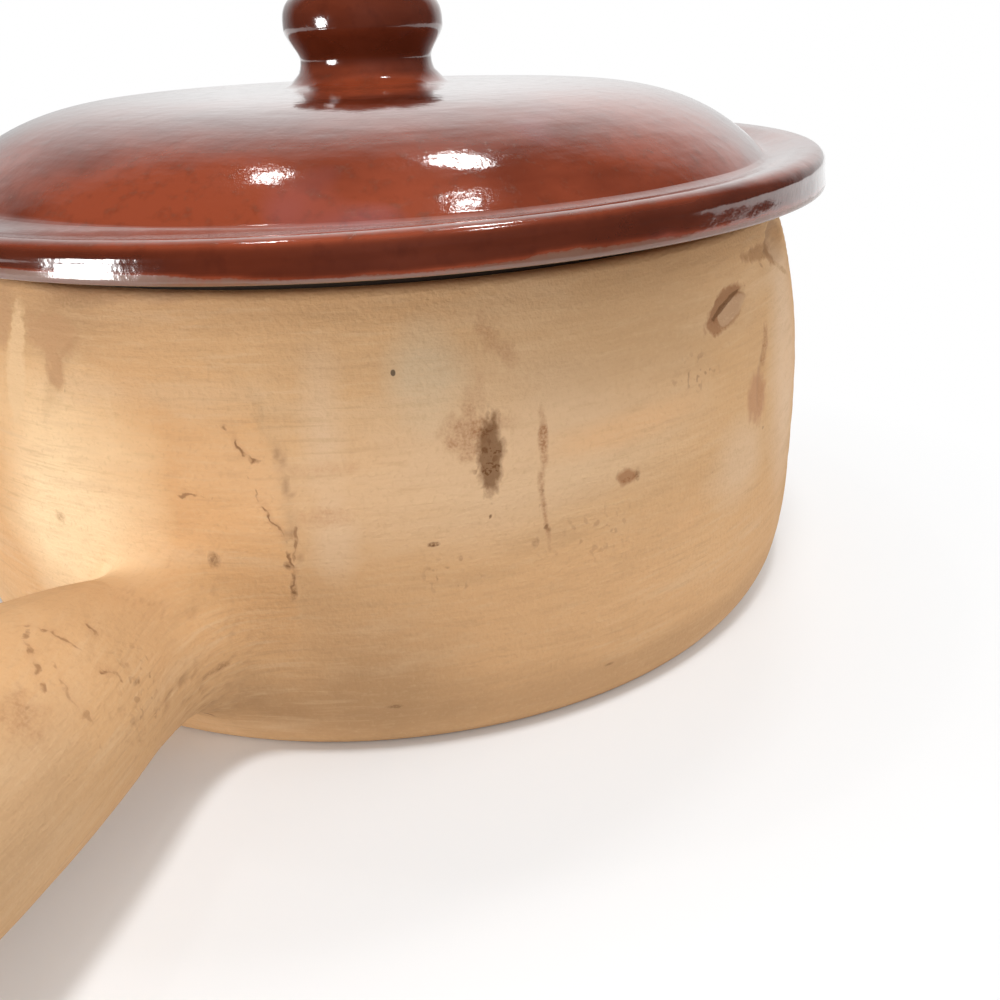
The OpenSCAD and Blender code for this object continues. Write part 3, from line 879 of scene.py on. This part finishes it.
# Handle collar
# Soft clay pressed round the root of the handle and smeared out on the wall, so that the two flow together.
# It is widest on the right, where the fingers pushed it.
# Reach of the collar on the wall and along the handle, every 45 degrees from the handle's right over its top
collar_spread = np.array([28, 26, 14, 6, 9, 15, 17, 26, 28]) / 1000
collar_reach = np.array([32, 28, 16, 9, 16, 24, 28, 34, 32]) / 1000
collar_sink = 0.0001
collar_hidden = 0.003
collar_steps = 220
collar_rows = 44
corner_from, corner_to = -0.012, 0.02
off_body, off_handle = 0.03, 0.02
body_skin = skin_of(pot.data)


def on_handle(spin, s, r):
    """Places at an angle round the handle, a distance along it and a radius from its axis."""
    ring = np.cos(spin)[:, None] * sideways + np.sin(spin)[:, None] * upright
    return root + s[:, None] * axis + r[:, None] * ring, ring


def on_wall(places, sink=0.0):
    """Moves places straight in or out to the pot's wall."""
    z = np.clip(places[:, 2], 0.0008, pot_h)
    flat = places[:, :2] / np.linalg.norm(places[:, :2], axis=1)[:, None]
    return np.column_stack([flat * (pot_r(z) - sink)[:, None], z])


# The corner where handle and wall meet is found by halving, at every angle round the handle
spin = np.linspace(0, 2 * math.pi, collar_steps, endpoint=False)
low, high = np.full(collar_steps, corner_from), np.full(collar_steps, corner_to)
for _ in range(40):
    middle = (low + high) / 2
    places, ring = on_handle(spin, middle, handle_r(middle))
    outside = np.hypot(places[:, 0], places[:, 1]) > pot_r(places[:, 2])
    high = np.where(outside, middle, high)
    low = np.where(outside, low, middle)
corner, ring = on_handle(spin, high, handle_r(high))


def round_collar(values):
    """Values given every 45 degrees round the collar, joined smoothly."""
    part = np.mod(spin, math.pi / 4) / (math.pi / 4)
    first = np.floor(spin / (math.pi / 4)).astype(int) % 8
    blend = ease(part)
    return values[first] * (1 - blend) + values[first + 1] * blend


def met(skin, starts, headings):
    """Where lines from the given starts first meet a skin, sunk in a hair."""
    found = [skin.ray_cast(Vector(start), Vector(heading))[0] for start, heading in zip(starts, headings)]
    return np.array(found) + headings * collar_sink


def along_wall(part):
    """Places on the thrown wall, a part of the way from the corner to the collar's foot."""
    places = on_wall(corner + ring * (round_collar(collar_spread) * part)[:, None])
    inwards = places * (-1, -1, 0) / np.linalg.norm(places[:, :2], axis=1)[:, None]
    return met(body_skin, places - inwards * off_body, inwards)


def along_handle(part):
    """Places on the thrown handle, a part of the way from the corner to the collar's tip."""
    s = high + round_collar(collar_reach) * part
    return met(handle_skin, on_handle(spin, s, handle_r(s) + off_handle)[0], -ring)


tip_s = high + round_collar(collar_reach)
foot = along_wall(1.0)
wall_corner, handle_corner = along_wall(0), along_handle(0)
collar_rings = []
for t in np.linspace(0, 1, collar_rows):
    to_tip = (1 - t) ** 3 * (1 + t)
    to_foot = t ** 3 * (2 - t)
    both_ways = along_handle(to_tip) + along_wall(to_foot)
    collar_rings.append(both_ways - wall_corner * (1 - ease(t)) - handle_corner * ease(t))
collar_rings += [on_wall(foot, collar_hidden), on_wall(corner, collar_hidden),
                 on_handle(spin, high, handle_r(high) - collar_hidden)[0],
                 on_handle(spin, tip_s, handle_r(tip_s) - collar_hidden)[0]]
ring_count = len(collar_rings)
collar_faces = []
for i in range(ring_count):
    here, there = i * collar_steps, (i + 1) % ring_count * collar_steps
    for j in range(collar_steps):
        k = (j + 1) % collar_steps
        collar_faces.append((here + j, here + k, there + k, there + j))
collar_mesh = bpy.data.meshes.new("handle_collar_smear")
collar_mesh.from_pydata(np.concatenate(collar_rings).tolist(), [], collar_faces)
face_outwards(collar_mesh)
collar_mesh.polygons.foreach_set("use_smooth", [True] * len(collar_mesh.polygons))
near_zones = [zone for zone in wall_zones if abs(zone[0]) < 50 and zone[1] < 60]
near_marks = [mark for mark in wall_marks if abs(mark[0]) < 9]
clay_collar = bare_clay("clay_collar", near_zones, near_marks, fading=True)
collar_mesh.materials.append(clay_collar)
collar_places = points_of(collar_mesh)
off_wall = ease(((collar_places - root) @ axis - 0.001) / 0.016)
paint(collar_mesh, "off_wall", off_wall)
paint(collar_mesh, "smeared", smear_tone(collar_places) * (1 - off_wall))
corners = np.zeros(len(collar_mesh.loops), np.int32)
collar_mesh.loops.foreach_get("vertex_index", corners)
collar_turn = np.arctan2(collar_places[:, 1], collar_places[:, 0])
unrolled = np.column_stack([collar_turn * belly_r, collar_places[:, 2]])
sheet = collar_mesh.attributes.new("unrolled", "FLOAT2", "CORNER")
sheet.data.foreach_set("vector", unrolled[corners].astype(np.float32).ravel())
collar = bpy.data.objects.new("handle_collar_smear", collar_mesh)
bpy.context.scene.collection.objects.link(collar)
# The creases fade out towards the foot; of the four hidden rings only the one under the tip has them
creased = np.append(1 - ease((np.linspace(0, 1, collar_rows) - 0.6) / 0.35), [0, 0, 0, 1])
crease(collar_mesh, np.repeat(creased, collar_steps))
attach(collar, "pot")
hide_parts("handle_collar")


# Lid
# A thrown clay lid: a flat-topped dome, a cove, a thick flange that overhangs the rim, and a ring below that
# drops inside it. The clay shows only underneath and as a line along the flange's lower edge.
lid_low, lid_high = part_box("lid")
lid_top = lid_high.z
lid_seat = pot_h
ring_bottom = lid_low.z
ring_t = 0.006
ring_r = mouth_r - lining_t - 0.0012
lid_wall = 0.007
lid_r = 0.1179
edge_z = 0.1010
edge_round = 0.0006
band_top_r, band_top_z = 0.1174, 0.1044
crest_in_r, crest_z = 0.1141, 0.1072
dome_foot_r, dome_foot_z = 0.1036, 0.1070
pad_r = 0.0230
dome_power = 4.5


def dome_z(r):
    """Height of the dome at a radius, flat under the knob and falling away beyond it."""
    return lid_top - (lid_top - dome_foot_z) * (max(r - pad_r, 0) / (dome_foot_r - pad_r)) ** dome_power


def curve(start, first, second, end, count):
    """Points on a cubic curve, without its start."""
    given = (start, first, second, end)
    made = []
    for t in steps_between(0, 1, count):
        weights = ((1 - t) ** 3, 3 * t * (1 - t) ** 2, 3 * t * t * (1 - t), t ** 3)
        made.append(tuple(sum(w * p[k] for w, p in zip(weights, given)) for k in (0, 1)))
    return made


lid_underside = [(0.0, lid_top - lid_wall)]
lid_underside += [(r, dome_z(r) - lid_wall) for r in steps_between(0.0, ring_r - ring_t, 40)]
lid_underside += [(ring_r - ring_t, z) for z in steps_between(lid_underside[-1][1], ring_bottom, 12)]
lid_underside += [(r, ring_bottom) for r in steps_between(ring_r - ring_t, ring_r, 4)]
lid_underside += [(ring_r, z) for z in steps_between(ring_bottom, lid_seat, 5)]
seat_r = 0.1040
recess_w = 0.0015
lid_underside += [(r, lid_seat) for r in steps_between(ring_r, seat_r, 6)]
edge_in, edge_out = (lid_r - 2 * edge_round, edge_z - edge_round), (lid_r, edge_z)
lid_underside += [(seat_r + recess_w * (1 - math.cos(a)), lid_seat + (edge_in[1] - lid_seat) * math.sin(a))
                  for a in quarter(10)]
lid_underside += [(r, edge_in[1]) for r in steps_between(seat_r + recess_w, edge_in[0], 4)]
edge_line = [(edge_in[0] + (edge_out[0] - edge_in[0]) * math.sin(a),
              edge_in[1] + (edge_out[1] - edge_in[1]) * (1 - math.cos(a)))
             for a in quarter(5)]
lid_underside += edge_line
band_low, band_high = (lid_r, edge_z + 0.0012), (band_top_r, band_top_z - 0.001)
flange_line = curve(edge_out, band_low, band_high, (band_top_r, band_top_z), 9)
flange_line += [(crest_in_r + (band_top_r - crest_in_r) * math.cos(a),
                 band_top_z + (crest_z - band_top_z) * math.sin(a)) for a in quarter(14)]
cove_out = (crest_in_r - 0.0040, crest_z - 0.0003)
cove_in = (dome_foot_r + 0.0026, dome_foot_z - 0.0010)
cove_line = curve((crest_in_r, crest_z), cove_out, cove_in, (dome_foot_r, dome_foot_z), 20)
dome_line = [(r, dome_z(r)) for r in steps_between(dome_foot_r, pad_r, 90)]
lid_line = flange_line + cove_line + dome_line
clay_lid = bare_clay("clay_lid", body=(0.23, 0.105, 0.055, 1), painted_shade_tone=near_black)
under_glaze = flange_line[::2] + (cove_line + dome_line)[::3] + [dome_line[-1], (0.0, lid_top)]
lid = throw("lid_thrown", lid_underside + under_glaze, clay_lid, 360, lines=0.0001, pitch=0.004, seed=11.0,
            sheet_r=lid_r)
sag_depth = 0.0016
dome_lean = 0.0004
sag_turn = math.radians(109)
sag_over, edge_over = 0.008, 0.004


def sag(mesh):
    """Tilts the flange and cove a little, as the soft lid sagged while it dried."""
    places = points_of(mesh)
    r = np.hypot(places[:, 0], places[:, 1])
    turn = np.arctan2(places[:, 1], places[:, 0])
    past_foot = (r - dome_foot_r) / sag_over
    off_edge = ease((places[:, 2] - edge_z) / edge_over)
    on_flange = ease(past_foot) * off_edge
    on_dome = off_edge * np.clip(1 - past_foot, 0, 1) * r / dome_foot_r
    places[:, 2] += (sag_depth * on_flange - dome_lean * on_dome) * np.cos(turn - sag_turn)
    move_points(mesh, places)


# Shade is painted dark on the flange's underside above the seat, so that the gap over the rim reads dark
lid_height = points_of(lid.data)[:, 2]
in_gap = ease((edge_in[1] - 0.0002 - lid_height) / 0.0004) * (lid_height > lid_seat - 0.001)
paint(lid.data, "pressed", in_gap)
sag(lid.data)
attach(lid, "lid")
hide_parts("lid")


# Lid knob
# A solid clay mushroom that was turned apart and luted on while both were soft, a little off the middle of
# the dome. The glaze covers all of it.
knob_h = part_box("lid_knob")[1].z - lid_top
knob_neck_r = 0.0165
knob_fillet = 0.0065
cap_r = 0.0199
cap_z = 0.0142
cap_curve = 3.0
knob_line = [(knob_neck_r + knob_fillet * (1 - math.sin(a)), lid_top + knob_fillet * (1 - math.cos(a)))
             for a in quarter(10)]
knob_line += [(knob_neck_r + (cap_r - knob_neck_r) * float(ease(t)),
               lid_top + knob_fillet + (cap_z - knob_fillet) * t) for t in steps_between(0, 1, 20)]
knob_line += [(cap_r * (1 - math.sin(a) ** cap_curve) ** (1 / cap_curve),
               lid_top + cap_z + (knob_h - cap_z) * math.sin(a)) for a in quarter(22)[:-1]]
knob_line += [(0.0, lid_top + knob_h)]
knob_sunk = 0.001
knob_foot = [(0.0, lid_top - knob_sunk), (pad_r, lid_top - knob_sunk)]
knob_shift = np.array((-0.0005, 0.0015))
shift_within, shift_fade = 0.040, 0.018


def set_off(mesh):
    """Shifts the knob to where it was luted, off the middle of the lid."""
    places = points_of(mesh)
    part = ease((shift_within - np.hypot(places[:, 0], places[:, 1])) / shift_fade)
    part *= ease((places[:, 2] - lid_top + lid_wall / 2) / (lid_wall / 2))
    places[:, :2] += knob_shift * part[:, None]
    move_points(mesh, places)


knob_outline = knob_foot + knob_line[::2] + knob_line[-1:]
knob = throw("lid_knob_turned", knob_outline, clay_lid, 120, sheet_r=cap_r)
set_off(knob.data)
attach(knob, "lid")
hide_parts("lid_knob")


# Lid glaze
# Fired red-brown glaze over the dome, flange and knob. The lid was dipped and its edge wiped, so the glaze
# fades out in a wavering line above the flange's lower edge. It is worn a little thin on the crest.
glaze_t = 0.0004
glazed_line = edge_line + lid_line + knob_line
coat_outside = []
for i, (r, z) in enumerate(glazed_line):
    r0, z0 = glazed_line[max(i - 1, 0)]
    r1, z1 = glazed_line[min(i + 1, len(glazed_line) - 1)]
    grown = glaze_t * min(i / 3, 1) / math.hypot(r1 - r0, z1 - z0)
    coat_outside.append((max(r + grown * (z1 - z0), 0), z - grown * (r1 - r0)))
coat_outside[-1] = (0.0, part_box("lid_glaze")[1].z)
coat_inside = [p for p in glazed_line[1::6] if p[0] > 0]
red = glaze("red_glaze", (0.120, 0.018, 0.005, 1), (0.275, 0.053, 0.021, 1), (0.19, 0.088, 0.053, 1),
            clouds_stretch=(1, 1, 3))
coat = throw("lid_glaze_coat", coat_outside + coat_inside[::-1] + coat_outside[:1], red, 500, lines=0.00008,
             pitch=0.005, wobble=0.0003, seed=14.0, sheet_r=lid_r)
places = points_of(coat.data)
turn = np.arctan2(places[:, 1], places[:, 0])
r = np.hypot(places[:, 0], places[:, 1])
# The bare strip along the edge, its height in mm at turns from the handle in degrees
strip_turn = np.radians([-180, -120, -60, -20, -8, 3, 9, 14, 19, 30, 36, 43, 50, 58, 70, 100, 140, 180])
strip_h = np.array([
    0.8, 1.2, 0.7, 1.6, 1.9, 1.8, 1.5, 0.9, 0.5, 0.4, 0.8, 1.5, 1.2, 0.8, 1.0, 0.6, 1.1, 0.8]) / 1000
strip_within, crest_from, pool_from = 0.110, 0.1120, 0.1142
above_edge = places[:, 2] - edge_z
strip = np.interp(turn, strip_turn, strip_h) + 0.0003 * rough_at(places * 1000, 0.3, 5.0)
on_crest = np.exp(-((places[:, 2] - crest_z) / 0.0007) ** 2) * ease((r - crest_from) / 0.002)
# Pooled glaze and painted shade: the band under the crest and the knob, most of all under its cap, are
# painted darker
pooled_and_shaded = ease((r - pool_from) / 0.0015) * ease((above_edge - strip + 0.0004) / 0.0006) * (1 - on_crest)
knob_part = ease((places[:, 2] - lid_top - 0.004) / 0.004)
pooled_and_shaded = np.maximum(pooled_and_shaded, knob_part * (0.9 + 0.2 * ease((lid_top + cap_z - places[:, 2]) / 0.003)))
thin = np.maximum(ease(0.5 + (strip - above_edge) / 0.0014), 0.15 * on_crest)
thin = (r > strip_within) * thin - 0.75 * pooled_and_shaded
sag(coat.data)
set_off(coat.data)
paint(coat.data, "thin", thin)
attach(coat, "lid")
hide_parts("lid_glaze")
